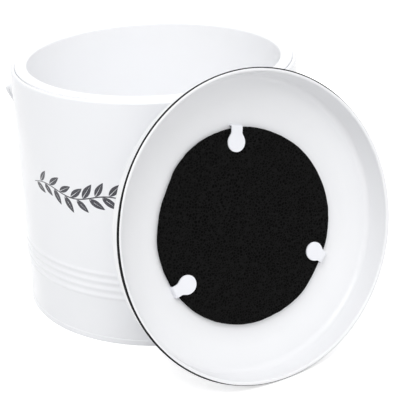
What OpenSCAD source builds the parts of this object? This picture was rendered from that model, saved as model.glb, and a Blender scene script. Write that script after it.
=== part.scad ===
// Kitchen caddy for food scraps: a straight steel pail with a lift-out bucket, a wire bail,
// and a loose lid with a filter disc, which leans against the pail.
// Millimetres. Z is up, the front is -Y, and the origin is on the table under the pail's axis.

/* [Pail] */
// Outside radius of the pail's straight wall
pail_r = 106; // [95:0.5:120]
// Height of the pail to the top of its rolled rim
pail_h = 185; // [160:1:230]
// Thickness of the pail's sheet steel
sheet = 0.8; // [0.6:0.1:1]
// Radius of the rolled rim
rim_roll_r = 1.8; // [1.6:0.1:2.2]
// Height of the seam that joins the wall and the base
chime_h = 4; // [3:0.5:6]
// How far the seam stands proud of the wall
chime_rise = 0.4; // [0.2:0.1:0.8]
// Height of the base sheet above the table
base_lift = 3; // [2:0.5:5]

/* [Ribs] */
// Number of rounded ribs round the lower wall
rib_count = 4; // [1:1:6]
// Distance from one rib to the next
rib_pitch = 5.9; // [5.4:0.1:8]
// Height of the lowest rib's middle
rib_low_z = 37.6; // [20:0.2:60]
// Width of a rib along the wall
rib_w = 5.2; // [3:0.1:5.3]
// How far a rib bulges out of the wall
rib_rise = 0.7; // [0.3:0.1:1.2]

/* [Inner bucket] */
// Gap between the pail's wall and the bucket's wall at the mouth
bucket_gap = 9.6; // [6:0.2:20]
// Thickness of the bucket's plastic wall
bucket_wall = 1.6; // [1.2:0.1:2]
// Space between the bucket's underside and the base sheet
floor_gap = 6.6; // [2:0.2:50]
// How much narrower the bucket is at its bottom
bucket_draft = 7; // [2:0.5:12]
// How far the bucket's flange reaches over the rolled rim
flange_lap = 0.3; // [0.2:0.1:1]

/* [Bail] */
// Depth of the bail's pivots below the top of the rim
ear_drop = 28.5; // [24:0.5:40]
// How far an ear's cup stands off the wall
cup_h = 9.5; // [8:0.5:12]
// Thickness of an ear's steel
ear_sheet = 1.2; // [1:0.1:1.4]
// Diameter of the bail's wire
bail_wire_d = 3.5; // [3:0.1:4]
// Distance from an ear's cup to the middle of the bail's leg
leg_off = 5.5; // [4:0.5:8]
// Distance from the pivots to the middle of the grip
bail_reach = 181; // [170:1:186]
// Radius of the bail's two upper bends
bail_bend_r = 66; // [50:1:70]
// Length of the turned wood grip
grip_len = 96; // [70:1:100]
// Largest radius of the grip
grip_r = 9.5; // [8:0.5:12]

/* [Lid] */
// Play between the bucket's flange and the inside of the lid
lid_play = 0.9; // [0.5:0.1:2]
// Thickness of the lid's sheet steel
lid_sheet = 0.8; // [0.6:0.1:1]
// Radius of the lid's rolled edge
hem_r = 1.5; // [1.2:0.1:1.8]
// Depth of the lid's skirt, from the rolled edge to the start of its bend
skirt_h = 14; // [8:0.5:16]
// Slope of the skirt in degrees from upright
skirt_slope = 6; // [4:0.5:8]
// Outside radius of the bend between the skirt and the crown
cove_r = 6; // [5:0.1:10]
// Width of the narrow step between the skirt's bend and the crown's shoulder
seat_w = 3.7; // [2:0.1:6]
// Slope of the step in degrees
seat_slope = 8; // [4:0.5:14]
// Width of the crown's shoulder
shoulder_w = 7.6; // [4:0.1:10]
// Slope of the shoulder in degrees
crown_slope = 20; // [16:0.5:24]
// Radius of the crown's flat middle
flat_r = 72; // [70:0.5:78]
// How far the leaning lid tilts back in degrees
lid_lean = 14.6; // [10:0.2:20]
// Direction in which the lid leans, in degrees from the front towards +X
lid_side = 43.3; // [30:0.1:60]
// How far the lid faces off the pail's axis in degrees
lid_turn = 2; // [-3:0.5:3]

/* [Filter] */
// Radius of the filter disc
filter_r = 68.2; // [60:0.1:69]
// Thickness of the filter disc
filter_h = 3; // [2:0.5:8]
// How far the filter and its tabs lie below the lid's middle
filter_drop = 1.5; // [0:0.1:2]
// How far they lie to the right of the lid's middle
filter_shift = 1.1; // [-1.5:0.1:1.5]
// Thickness of a tab that holds the filter
tab_sheet = 1; // [0.8:0.1:1.2]
// Width of a tab at its bend
tab_neck_w = 8.6; // [6:0.2:11]
// Radius of a tab's round end
tab_head_r = 6.6; // [6:0.1:8]
// Distance from a tab's bend to the middle of its round end
tab_len = 9.4; // [9:0.2:14]
// Turn of the three tabs about the lid's middle in degrees
tab_turn = 3.9; // [-10:0.1:10]
// Twist of each tab about its bend in degrees
tab_twist = 10; // [0:1:15]
// Number of rings of vent holes behind the filter
vent_rings = 3; // [1:1:3]
// Diameter of a vent hole
vent_d = 4; // [3:0.5:5]

/* [Knob] */
// Largest radius of the knob
knob_r = 13; // [11:0.5:14]
// Height of the knob
knob_h = 14.5; // [12:0.5:15]
// Radius of the knob's foot
knob_foot_r = 7.5; // [6:0.5:8]
// Diameter of the knob's screw
screw_d = 4; // [3:0.5:5]

/* [Hidden] */
$fn = 96;

// Clearances: pieces at rest on each other, pieces that turn in each other, and cuts that run past
rest_gap = 0.3;
run_gap = 0.3;
seat_gap = 0.05;
past = 1;

// The pail
wall_in_r = pail_r - sheet;
roll_mid_r = pail_r - rim_roll_r;
roll_mid_z = pail_h - rim_roll_r;
rim_wire_r = rim_roll_r - sheet - 2 * seat_gap;
rib_arc_r = (pow(rib_w / 2, 2) + pow(rib_rise, 2)) / (2 * rib_rise);
rib_mid_r = pail_r + rib_rise - rib_arc_r;

// The bucket hangs by its flange on the roll
flange_r = roll_mid_r - rim_roll_r + flange_lap;
flange_low_z = roll_mid_z + sqrt(pow(rim_roll_r, 2) - pow(rim_roll_r - flange_lap, 2)) + rest_gap;
flange_h = bucket_wall;
bucket_top_z = flange_low_z + flange_h;
bucket_low_z = base_lift + sheet + floor_gap;
mouth_r = wall_in_r - bucket_gap - bucket_wall;
floor_r = mouth_r - bucket_draft;
floor_round = 6;
arc_steps = 8;

// The ears: a plate bent to the wall, with a hollow cup that the bail's end turns in
ear_z = pail_h - ear_drop;
ear_tall = 18;
ear_half_w = 13;
cup_foot_r = 9;
cup_top_r = 6;
rivet_r = 1.5;
rivet_head_r = 2.7;
rivet_head_h = 1.3;
rivet_arc = 16;
rivet_turn = rivet_arc / pail_r * 180 / PI;
plate_in_r = pail_r + seat_gap;
plate_out_r = plate_in_r + ear_sheet;
cup_top_x = plate_in_r + cup_h;

// The bail, drawn upright in the XZ plane with its pivots on the X axis
wire_r = bail_wire_d / 2;
leg_x = cup_top_x + leg_off;
bend_room = 2;
small_bend_r = wire_r + bend_room;
head_lip = 1.6;
head_r = wire_r + head_lip;
head_h = 2;
head_x = cup_top_x - ear_sheet - rest_gap - head_h;
leg_low_z = small_bend_r;
leg_high_z = bail_reach - bail_bend_r;
bail_mid_x = leg_x - bail_bend_r;
bail_hang = asin((pail_r + rib_rise + grip_r + rest_gap) / bail_reach);
grip_sink = 2;
grip_end_bevel = 2.5;
grip_arc_r = (pow(grip_len / 2, 2) + pow(grip_sink, 2)) / (2 * grip_sink);

// The lid, drawn closed: the plane of its rolled edge is z = 0 and its crown is up
skirt_in_r = flange_r + lid_play;
skirt_out_r = skirt_in_r + lid_sheet / cos(skirt_slope);
hem_mid_r = skirt_in_r + hem_r;
cove_mid_r = skirt_out_r - skirt_h * tan(skirt_slope) - cove_r * cos(skirt_slope);
cove_mid_z = skirt_h - cove_r * sin(skirt_slope);
cove_end_r = cove_mid_r + cove_r * sin(seat_slope);
cove_end_z = cove_mid_z + cove_r * cos(seat_slope);
seat_end_r = cove_end_r - seat_w;
seat_end_z = cove_end_z + seat_w * tan(seat_slope);
dome_r = seat_end_r - shoulder_w;
dome_z = seat_end_z + shoulder_w * tan(crown_slope);
dome_arc_r = (dome_r - flat_r) / sin(crown_slope);
crown_z = dome_z + dome_arc_r * (1 - cos(crown_slope));
crown_in_z = crown_z - lid_sheet;
vent_step = 14;
vent_first_r = 22;
vents_per_ring = 6;

// The filter lies on the crown's inside, under three bent tabs
filter_top_z = crown_in_z - rest_gap;
filter_low_z = filter_top_z - filter_h;
clear_r = filter_r + rest_gap;
tab_half_w = tab_neck_w / 2;
tab_corner_r = tab_half_w * sin(tab_twist)
    + sqrt(pow(clear_r, 2) - pow(tab_half_w * cos(tab_twist), 2));
tab_r = clear_r * tan(tab_twist) < tab_half_w ? clear_r / cos(tab_twist) : tab_corner_r;
tab_top_z = filter_low_z - seat_gap;
tab_low_z = tab_top_z - tab_sheet;
tab_bend_r = 2 * tab_sheet;
tab_tuck = 0.1;
filter_edge = tab_sheet;
tab_step = 360 / 3;

// The knob stands on a washer, and its screw comes from inside
washer_lip = 1.5;
washer_r = knob_foot_r + washer_lip;
washer_h = 0.8;
knob_low_z = crown_z + washer_h;
knob_edge_r = 4;
knob_neck_z = knob_h - 2 * knob_edge_r;
knob_waist = 1;
screw_r = screw_d / 2;
screw_head_r = screw_d;
screw_head_h = 1.6;
insert_wall = 1.2;
insert_r = screw_r + insert_wall;
insert_cap = 6;
insert_h = knob_h - insert_cap;

// Where the lid leans: its edge or its bend on the table, and its crown or its knob on the pail
hem_drop = hem_mid_r * cos(lid_lean) + hem_r;
cove_drop = cove_mid_r * cos(lid_lean) + cove_mid_z * sin(lid_lean) + cove_r;
lid_z = max(hem_drop, cove_drop) + seat_gap;
roll_rise = roll_mid_z - lid_z;
lean_on_roll = min([for (i = [0 : arc_steps]) lean_at(crown_slope * i / arc_steps)]);
knob_top_r = knob_r - knob_edge_r;
lean_on_knob = pail_r + rest_gap + knob_top_r * sin(lid_lean)
    + (knob_low_z + knob_h) * cos(lid_lean);
upright_slope = min(lid_lean, crown_slope);
lean_on_wall = pail_r + rest_gap + crown_r(upright_slope) * sin(lid_lean)
    + crown_height(upright_slope) * cos(lid_lean);
lid_dist = max(lean_on_roll, lean_on_wall, lean_on_knob);

// Radius and height of the crown's outside where its slope is s
function crown_r(s) = flat_r + dome_arc_r * sin(s);
function crown_height(s) = crown_z - dome_arc_r * (1 - cos(s));

// Distance of the leaning lid at which the roll touches the crown where its slope is s
function lean_at(s) =
    let (rise = roll_rise - crown_r(s) * cos(lid_lean) + crown_height(s) * sin(lid_lean))
    roll_mid_r + crown_r(s) * sin(lid_lean) + crown_height(s) * cos(lid_lean)
        + (rim_roll_r + rest_gap - rise * sin(s - lid_lean)) / cos(s - lid_lean);

module ring(outer_r, inner_r, low_z, high_z) {
    rotate_extrude()
        translate([inner_r, low_z])
            square([outer_r - inner_r, high_z - low_z]);
}

module at_rivets(side) {
    for (turn = [-rivet_turn, rivet_turn])
        rotate([0, 0, turn + (side > 0 ? 0 : 180)])
            translate([0, 0, ear_z])
                rotate([0, 90, 0])
                    children();
}

module rib_outline(thick) {
    for (i = [0 : rib_count - 1])
        intersection() {
            translate([rib_mid_r, rib_low_z + i * rib_pitch])
                circle(r = rib_arc_r - thick);
            translate([pail_r - thick - seat_gap, rib_low_z + i * rib_pitch - rib_w / 2])
                square([2 * rib_rise, rib_w]);
        }
}

module pail_wall() {
    color("whitesmoke")
        difference() {
            rotate_extrude()
                union() {
                    difference() {
                        union() {
                            translate([wall_in_r, 0])
                                square([sheet, roll_mid_z]);
                            translate([wall_in_r, 0])
                                square([sheet + chime_rise, chime_h]);
                            rib_outline(0);
                        }
                        rib_outline(sheet);
                        translate([roll_mid_r, roll_mid_z])
                            circle(r = rim_roll_r - sheet);
                    }
                    difference() {
                        translate([roll_mid_r, roll_mid_z])
                            circle(r = rim_roll_r);
                        translate([roll_mid_r, roll_mid_z])
                            circle(r = rim_roll_r - sheet);
                    }
                }
            for (side = [-1, 1])
                at_rivets(side)
                    translate([0, 0, wall_in_r - 2 * past])
                        cylinder(r = rivet_r + seat_gap, h = 4 * past + sheet);
        }
}

module rim_wire() {
    color("silver")
        rotate_extrude()
            translate([roll_mid_r, roll_mid_z])
                circle(r = rim_wire_r);
}

module pail_base() {
    base_r = wall_in_r - seat_gap;
    color("whitesmoke")
        union() {
            cylinder_between(base_r, base_lift, base_lift + sheet);
            ring(base_r, base_r - sheet, seat_gap, base_lift + sheet);
        }
}

module cylinder_between(r, low_z, high_z) {
    translate([0, 0, low_z])
        cylinder(r = r, h = high_z - low_z);
}

// A cone along +X round the pivot, from the wall's radius outwards
module cup_cone(foot_r, top_r, top_x) {
    foot_x = plate_in_r - 2 * past;
    translate([foot_x, 0, ear_z])
        rotate([0, 90, 0])
            cylinder(r1 = foot_r, r2 = top_r, h = top_x - foot_x);
}

module ear_plate() {
    intersection() {
        ring(plate_out_r, plate_in_r, ear_z - ear_tall, ear_z + ear_tall);
        translate([0, 0, ear_z])
            rotate([0, 90, 0])
                linear_extrude(plate_out_r + past)
                    union() {
                        square([ear_tall, 2 * ear_half_w], center = true);
                        for (end = [-1, 1])
                            translate([0, end * ear_half_w])
                                circle(d = ear_tall);
                    }
    }
}

module ear(side) {
    color("whitesmoke")
        mirror([side > 0 ? 0 : 1, 0, 0])
            difference() {
                union() {
                    ear_plate();
                    difference() {
                        cup_cone(cup_foot_r, cup_top_r, cup_top_x);
                        cylinder_between(plate_in_r, ear_z - ear_tall, ear_z + ear_tall);
                    }
                }
                cup_cone(cup_foot_r - ear_sheet, cup_top_r - ear_sheet / 2, cup_top_x - ear_sheet);
                translate([pail_r, 0, ear_z])
                    rotate([0, 90, 0])
                        cylinder(r = wire_r + run_gap, h = cup_h + 2 * past);
                at_rivets(1)
                    translate([0, 0, pail_r - past])
                        cylinder(r = rivet_r + seat_gap, h = ear_sheet + 2 * past);
            }
}

module ear_left() {
    ear(-1);
}

module ear_right() {
    ear(1);
}

// Two rivets through an ear and the wall, each with a domed head outside and a flat one inside
module ear_rivets(side) {
    dome_r = (pow(rivet_head_r, 2) + pow(rivet_head_h, 2)) / (2 * rivet_head_h);
    head_low = plate_out_r + seat_gap;
    color("gainsboro")
        at_rivets(side)
            rotate_extrude()
                union() {
                    translate([0, wall_in_r - rivet_head_h / 2])
                        square([rivet_r, head_low + seat_gap - wall_in_r + rivet_head_h / 2]);
                    translate([0, wall_in_r - seat_gap - rivet_head_h / 2])
                        square([rivet_head_r, rivet_head_h / 2 - seat_gap]);
                    intersection() {
                        translate([0, head_low + rivet_head_h - dome_r])
                            circle(r = dome_r);
                        translate([0, head_low])
                            square([rivet_head_r, rivet_head_h]);
                    }
                }
}

module ear_rivets_left() {
    ear_rivets(-1);
}

module ear_rivets_right() {
    ear_rivets(1);
}

// Points along an arc about [mid_x, mid_z], from one angle to another
function arc(mid_x, mid_z, r, from, to) = [
    for (i = [0 : arc_steps])
        let (a = from + (to - from) * i / arc_steps)
            [mid_x + r * cos(a), mid_z + r * sin(a)]
];

module inner_bucket() {
    corner_r = floor_r + bucket_wall - floor_round;
    corner_z = bucket_low_z + floor_round;
    lip_r = flange_h;
    edge_r = flange_h / 2;
    color("white")
        rotate_extrude()
            polygon(concat(
                [[0, bucket_low_z]],
                arc(corner_r, corner_z, floor_round, -90, 0),
                [[mouth_r + bucket_wall, flange_low_z]],
                arc(flange_r - edge_r, flange_low_z + edge_r, edge_r, -90, 90),
                arc(mouth_r + lip_r, bucket_top_z - lip_r, lip_r, 90, 180),
                arc(corner_r, corner_z, floor_round - bucket_wall, 0, -90),
                [[0, bucket_low_z + bucket_wall]]
            ));
}

module wire_bend(bend_r) {
    rotate([90, 0, 0])
        rotate_extrude(angle = 90)
            translate([bend_r, 0])
                circle(r = wire_r);
}

// One half of the upright bail, from the head in the ear to the middle of the grip
module bail_half() {
    translate([head_x, 0, 0])
        rotate([0, 90, 0])
            cylinder(r = head_r, h = head_h);
    translate([head_x, 0, 0])
        rotate([0, 90, 0])
            cylinder(r = wire_r, h = leg_x - small_bend_r - head_x);
    translate([leg_x - small_bend_r, 0, small_bend_r])
        mirror([0, 0, 1])
            wire_bend(small_bend_r);
    translate([leg_x, 0, leg_low_z])
        cylinder(r = wire_r, h = leg_high_z - leg_low_z);
    translate([bail_mid_x, 0, leg_high_z])
        wire_bend(bail_bend_r);
    translate([0, 0, bail_reach])
        rotate([0, 90, 0])
            cylinder(r = wire_r, h = bail_mid_x);
}

// Turns an upright bail about its pivots until the grip hangs against the back of the pail
module hanging() {
    translate([0, 0, ear_z])
        rotate([bail_hang - 180, 0, 0])
            children();
}

module bail_wire() {
    color("whitesmoke")
        hanging()
            union() {
                bail_half();
                mirror([1, 0, 0])
                    bail_half();
            }
}

module bail_grip() {
    half = grip_len / 2;
    color("burlywood")
        hanging()
            translate([0, 0, bail_reach])
                rotate([0, 90, 0])
                    rotate_extrude()
                        intersection() {
                            translate([grip_r - grip_arc_r, 0])
                                circle(r = grip_arc_r, $fn = 720);
                            polygon([
                                [wire_r + run_gap, -half],
                                [grip_r - grip_sink - grip_end_bevel, -half],
                                [grip_r, grip_end_bevel * 2 - half],
                                [grip_r, half - grip_end_bevel * 2],
                                [grip_r - grip_sink - grip_end_bevel, half],
                                [wire_r + run_gap, half]
                            ]);
                        }
}

// Takes the closed lid's own frame to its place, leaning against the pail's rim
module leaning() {
    rotate([0, 0, lid_side])
        translate([0, -lid_dist, lid_z])
            rotate([0, 0, lid_turn])
                rotate([-90 - lid_lean, 0, 0])
                    mirror([0, 1, 0])
                        children();
}

// The lid's rolled edge, and its sheet from the skirt over the crown to the middle and back
module lid_outline() {
    dome_mid_z = crown_z - dome_arc_r;
    fold = lid_sheet * tan((seat_slope + crown_slope) / 2);
    translate([hem_mid_r, 0])
        circle(r = hem_r);
    polygon(concat(
        [[skirt_out_r, 0]],
        arc(cove_mid_r, cove_mid_z, cove_r, skirt_slope, 90 - seat_slope),
        [[seat_end_r, seat_end_z]],
        arc(flat_r, dome_mid_z, dome_arc_r, 90 - crown_slope, 90),
        [[0, crown_z], [0, crown_in_z]],
        arc(flat_r, dome_mid_z, dome_arc_r - lid_sheet, 90, 90 - crown_slope),
        [[seat_end_r - fold, seat_end_z - lid_sheet]],
        arc(cove_mid_r, cove_mid_z, cove_r - lid_sheet, 90 - seat_slope, skirt_slope),
        [[skirt_in_r, 0]]
    ));
}

module lid_shell() {
    color("whitesmoke")
        leaning()
            difference() {
                rotate_extrude()
                    lid_outline();
                cylinder_between(screw_r + run_gap, crown_in_z - past, crown_z + past);
                for (i = [1 : vent_rings])
                    for (j = [1 : vents_per_ring * i])
                        rotate([0, 0, j * 360 / (vents_per_ring * i)])
                            translate([vent_first_r + (i - 1) * vent_step, 0, crown_in_z - past])
                                cylinder(d = vent_d, h = lid_sheet + 2 * past);
            }
}

// A soft disc with both of its edges taken off, and a dent where the screw's head presses in
module charcoal_filter() {
    dent_r = screw_head_r + norm([filter_shift, filter_drop]) + past;
    dent_z = crown_in_z - screw_head_h - rest_gap;
    color("black")
        leaning()
            translate([filter_shift, -filter_drop, 0])
                rotate_extrude()
                    polygon([
                        [0, filter_low_z],
                        [filter_r - filter_edge, filter_low_z],
                        [filter_r, filter_low_z + filter_edge],
                        [filter_r, filter_top_z - filter_edge],
                        [filter_r - filter_edge, filter_top_z],
                        [dent_r, filter_top_z],
                        [dent_r, dent_z],
                        [0, dent_z]
                    ]);
}

// A keyhole-shaped tab, welded to the crown just outside the filter and bent over its face
module filter_tab(turn) {
    color("white")
        leaning()
            translate([filter_shift, -filter_drop, 0])
                rotate([0, 0, 90 - tab_turn - turn])
                    translate([tab_r, 0, 0])
                        rotate([0, 0, -tab_twist])
                            intersection() {
                                translate([0, 0, tab_low_z])
                                    linear_extrude(crown_in_z - tab_low_z)
                                        tab_outline();
                                rotate([90, 0, 0])
                                    linear_extrude(4 * tab_head_r, center = true)
                                        tab_side();
                            }
}

// The tab seen flat, from the inner face of its leg: a round end, and straight sides to the bend
module tab_outline() {
    reach = norm([tab_len, tab_half_w]);
    side_turn = atan(tab_half_w / tab_len) + acos(tab_head_r / reach);
    touch_x = (tab_head_r - tab_tuck) * cos(side_turn) - tab_len;
    touch_y = (tab_head_r - tab_tuck) * sin(side_turn);
    translate([-tab_len, 0])
        circle(r = tab_head_r);
    polygon([
        [-tab_len, 0],
        [touch_x, -touch_y],
        [0, -tab_half_w],
        [tab_sheet, -tab_half_w],
        [tab_sheet, tab_half_w],
        [0, tab_half_w],
        [touch_x, touch_y]
    ]);
}

// The tab seen from its side: the flat face, the bend and the leg
module tab_side() {
    tip_x = -tab_len - tab_head_r - past;
    bend_x = tab_sheet - tab_bend_r;
    bend_z = tab_low_z + tab_bend_r;
    union() {
        translate([tip_x, tab_low_z])
            square([bend_x - tip_x, tab_sheet]);
        translate([0, bend_z])
            square([tab_sheet, crown_in_z - bend_z]);
        translate([bend_x, bend_z])
            difference() {
                intersection() {
                    circle(r = tab_bend_r);
                    translate([0, -tab_bend_r])
                        square(tab_bend_r);
                }
                circle(r = tab_bend_r - tab_sheet);
            }
    }
}

module filter_tab_top() {
    filter_tab(0);
}

module filter_tab_left() {
    filter_tab(-tab_step);
}

module filter_tab_right() {
    filter_tab(tab_step);
}

module knob() {
    color("burlywood")
        leaning()
            translate([0, 0, knob_low_z])
                difference() {
                    rotate_extrude()
                        union() {
                            polygon([
                                [0, 0],
                                [knob_foot_r, 0],
                                [knob_foot_r - knob_waist, knob_neck_z / 2],
                                [knob_top_r, knob_neck_z],
                                [0, knob_neck_z]
                            ]);
                            translate([0, knob_neck_z])
                                square([knob_top_r, 2 * knob_edge_r]);
                            translate([knob_top_r, knob_neck_z + knob_edge_r])
                                circle(r = knob_edge_r);
                        }
                    cylinder_between(insert_r + seat_gap, -past, insert_h + seat_gap);
                }
}

module knob_insert() {
    color("goldenrod")
        leaning()
            ring(insert_r, screw_r + seat_gap, knob_low_z + seat_gap, knob_low_z + insert_h);
}

module knob_washer() {
    color("dimgray")
        leaning()
            ring(washer_r, screw_r + run_gap, crown_z, crown_z + washer_h);
}

module knob_screw() {
    color("silver")
        leaning()
            union() {
                cylinder_between(screw_head_r, crown_in_z - screw_head_h, crown_in_z);
                cylinder_between(screw_r, crown_in_z - seat_gap, knob_low_z + insert_h - past);
            }
}

pail_wall();
rim_wire();
pail_base();
ear_left();
ear_right();
ear_rivets_left();
ear_rivets_right();
inner_bucket();
bail_wire();
bail_grip();
lid_shell();
charcoal_filter();
filter_tab_top();
filter_tab_left();
filter_tab_right();
knob();
knob_insert();
knob_washer();
knob_screw();
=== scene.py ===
from math import atan2, cos, degrees, exp, hypot, log, pi, radians, sin, tan

import bmesh
import bpy
from mathutils import Matrix, Vector, noise


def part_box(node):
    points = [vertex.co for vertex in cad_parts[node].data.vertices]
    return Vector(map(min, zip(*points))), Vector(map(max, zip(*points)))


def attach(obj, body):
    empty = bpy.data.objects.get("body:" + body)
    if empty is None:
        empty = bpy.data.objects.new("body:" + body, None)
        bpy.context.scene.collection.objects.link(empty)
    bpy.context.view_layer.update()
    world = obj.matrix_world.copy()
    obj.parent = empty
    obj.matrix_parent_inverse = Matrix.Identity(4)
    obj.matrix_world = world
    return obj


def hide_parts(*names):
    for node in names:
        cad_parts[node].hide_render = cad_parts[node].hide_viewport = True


# Sizes in the dictionaries are in millimetres and degrees, and the scene is in metres
mm = 0.001
mergeGap = 0.002 * mm
wholeTurn = 2 * pi

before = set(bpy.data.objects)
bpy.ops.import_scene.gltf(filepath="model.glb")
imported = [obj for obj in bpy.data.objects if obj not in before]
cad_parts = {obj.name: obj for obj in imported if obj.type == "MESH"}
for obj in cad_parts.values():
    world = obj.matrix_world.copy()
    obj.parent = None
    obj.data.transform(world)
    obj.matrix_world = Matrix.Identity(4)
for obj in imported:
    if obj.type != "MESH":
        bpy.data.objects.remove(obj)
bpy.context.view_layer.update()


# Camera

photoCamera = {
    "place": (0.2423, -0.7859, 0.4248),  # metres
    "heading": 15.0,  # turned from +Y towards -X
    "pitch": 23.49,  # looks down
    "roll": -2.06,
    "lens": 102.74,
    "sensor": 36.0,
}


def placeCamera(spec):
    data = bpy.data.cameras.new("photoCamera")
    data.lens = spec["lens"]
    data.sensor_width = spec["sensor"]
    data.clip_start = 0.05
    data.clip_end = 20.0
    camera = bpy.data.objects.new("photoCamera", data)
    bpy.context.scene.collection.objects.link(camera)
    camera.matrix_world = (
        Matrix.Translation(spec["place"])
        @ Matrix.Rotation(radians(spec["heading"]), 4, "Z")
        @ Matrix.Rotation(radians(90 - spec["pitch"]), 4, "X")
        @ Matrix.Rotation(radians(spec["roll"]), 4, "Z")
    )
    bpy.context.scene.camera = camera


placeCamera(photoCamera)


# Outlines and meshes

def arcPoints(middle, radius, start, end, steps):
    turns = [radians(start + (end - start) * i / steps) for i in range(steps + 1)]
    return [(middle[0] + radius * cos(a), middle[1] + radius * sin(a)) for a in turns]


def roundCorners(corners, steps=6):
    # Each corner is (radius, height, fillet); corners without a fillet stay sharp
    path = []
    for i, (x, y, fillet) in enumerate(corners):
        if not fillet:
            path.append((x, y))
            continue
        corner = Vector((x, y))
        before = (Vector(corners[i - 1][:2]) - corner).normalized()
        after = (Vector(corners[(i + 1) % len(corners)][:2]) - corner).normalized()
        half = before.angle(after) / 2
        middle = corner + (before + after).normalized() * fillet / sin(half)
        first = corner + before * fillet / tan(half) - middle
        last = corner + after * fillet / tan(half) - middle
        sweep = atan2(first.cross(last), first.dot(last))
        for step in range(steps + 1):
            spoke = Matrix.Rotation(sweep * step / steps, 2) @ first
            path.append(tuple(middle + spoke))
    return path


def spinOutline(points, steps, closed=True):
    bm = bmesh.new()
    verts = [bm.verts.new((r * mm, 0, z * mm)) for r, z in points]
    ends = verts[1:] + verts[:1] if closed else verts[1:]
    edges = [bm.edges.new(pair) for pair in zip(verts, ends)]
    sweep = wholeTurn / 8
    bmesh.ops.spin(
        bm, geom=verts + edges, cent=(0, 0, 0), axis=(0, 0, 1), dvec=(0, 0, 0),
        angle=sweep, steps=steps // 8, use_merge=False, use_duplicate=False,
    )
    for times in (1, 2, 4):  # the first eighth is copied on round the axis
        copies = bmesh.ops.duplicate(bm, geom=bm.verts[:] + bm.edges[:] + bm.faces[:])["geom"]
        copied = [g for g in copies if isinstance(g, bmesh.types.BMVert)]
        bmesh.ops.rotate(bm, cent=(0, 0, 0), matrix=Matrix.Rotation(sweep * times, 3, "Z"), verts=copied)
    bmesh.ops.remove_doubles(bm, verts=bm.verts, dist=mergeGap)
    bmesh.ops.dissolve_degenerate(bm, edges=bm.edges, dist=mergeGap)
    bmesh.ops.recalc_face_normals(bm, faces=bm.faces)
    return bm


def addPiece(name, bm, body, material, replaces=(), sharp=40.0):
    mesh = bpy.data.meshes.new(name)
    bm.to_mesh(mesh)
    bm.free()
    mesh.materials.append(material)
    mesh.shade_smooth()
    mesh.set_sharp_from_angle(angle=radians(sharp))
    piece = bpy.data.objects.new(name, mesh)
    bpy.context.scene.collection.objects.link(piece)
    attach(piece, body)
    if replaces:
        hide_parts(*replaces)
    return piece


def copyOfNode(node):
    bm = bmesh.new()
    bm.from_mesh(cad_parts[node].data)
    bmesh.ops.remove_doubles(bm, verts=bm.verts, dist=mergeGap)
    bmesh.ops.dissolve_limit(bm, angle_limit=radians(1), verts=bm.verts, edges=bm.edges)
    return bm


def softenEdges(piece, width, segments=3, turn=30.0):
    bevel = piece.modifiers.new("softEdges", "BEVEL")
    bevel.width = width * mm
    bevel.segments = segments
    bevel.limit_method = "ANGLE"
    bevel.angle_limit = radians(turn)
    bevel.harden_normals = True


# Shader groups and materials

def newGroup(name, inputs, outputs):
    tree = bpy.data.node_groups.new(name, "ShaderNodeTree")
    for label, kind in inputs:
        tree.interface.new_socket(name=label, in_out="INPUT", socket_type=kind)
    for label, kind in outputs:
        tree.interface.new_socket(name=label, in_out="OUTPUT", socket_type=kind)
    return tree, tree.nodes.new("NodeGroupInput"), tree.nodes.new("NodeGroupOutput")


def addNode(tree, kind, settings=None, values=None):
    node = tree.nodes.new(kind)
    for key, value in (settings or {}).items():
        setattr(node, key, value)
    for socket, value in (values or {}).items():
        if isinstance(value, bpy.types.NodeSocket):
            tree.links.new(value, node.inputs[socket])
        else:
            node.inputs[socket].default_value = value
    return node


def addMath(tree, operation, first, second=0.0):
    return addNode(tree, "ShaderNodeMath", {"operation": operation}, {0: first, 1: second}).outputs[0]


def addRange(tree, value, low, high, toLow=0.0, toHigh=1.0):
    return addNode(
        tree, "ShaderNodeMapRange", {"interpolation_type": "SMOOTHSTEP"},
        {"Value": value, "From Min": low, "From Max": high, "To Min": toLow, "To Max": toHigh},
    ).outputs["Result"]


def mixColours(tree, factor, first, second):
    node = addNode(tree, "ShaderNodeMix", {"data_type": "RGBA"})
    factorIn, firstIn, secondIn = node.inputs[0], node.inputs[6], node.inputs[7]
    tree.links.new(factor, factorIn)
    for socket, colour in ((firstIn, first), (secondIn, second)):
        if isinstance(colour, bpy.types.NodeSocket):
            tree.links.new(colour, socket)
        else:
            socket.default_value = (*colour, 1)
    return node.outputs[2]


def newMaterial(name, look, place=None):
    material = bpy.data.materials.new(name)
    material.use_nodes = True
    tree = material.node_tree
    shader = tree.nodes["Principled BSDF"]
    for socket, value in look.items():
        shader.inputs[socket].default_value = value
    spot = addNode(tree, "ShaderNodeTexCoord").outputs["Object"]
    if place is not None:  # the pattern is centred and turned with the piece
        spot = addNode(
            tree, "ShaderNodeMapping", {"vector_type": "TEXTURE"},
            {"Vector": spot, "Location": place.translation, "Rotation": place.to_euler("XYZ")},
        ).outputs["Vector"]
    return material, tree, shader, spot


def useGroup(tree, group, values):
    return addNode(tree, "ShaderNodeGroup", {"node_tree": group}, values).outputs


def addBump(tree, height, strength, distance, normal=None):
    values = {"Height": height, "Strength": strength, "Distance": distance * mm}
    if normal is not None:
        values["Normal"] = normal
    return addNode(tree, "ShaderNodeBump", values=values).outputs["Normal"]


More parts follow.
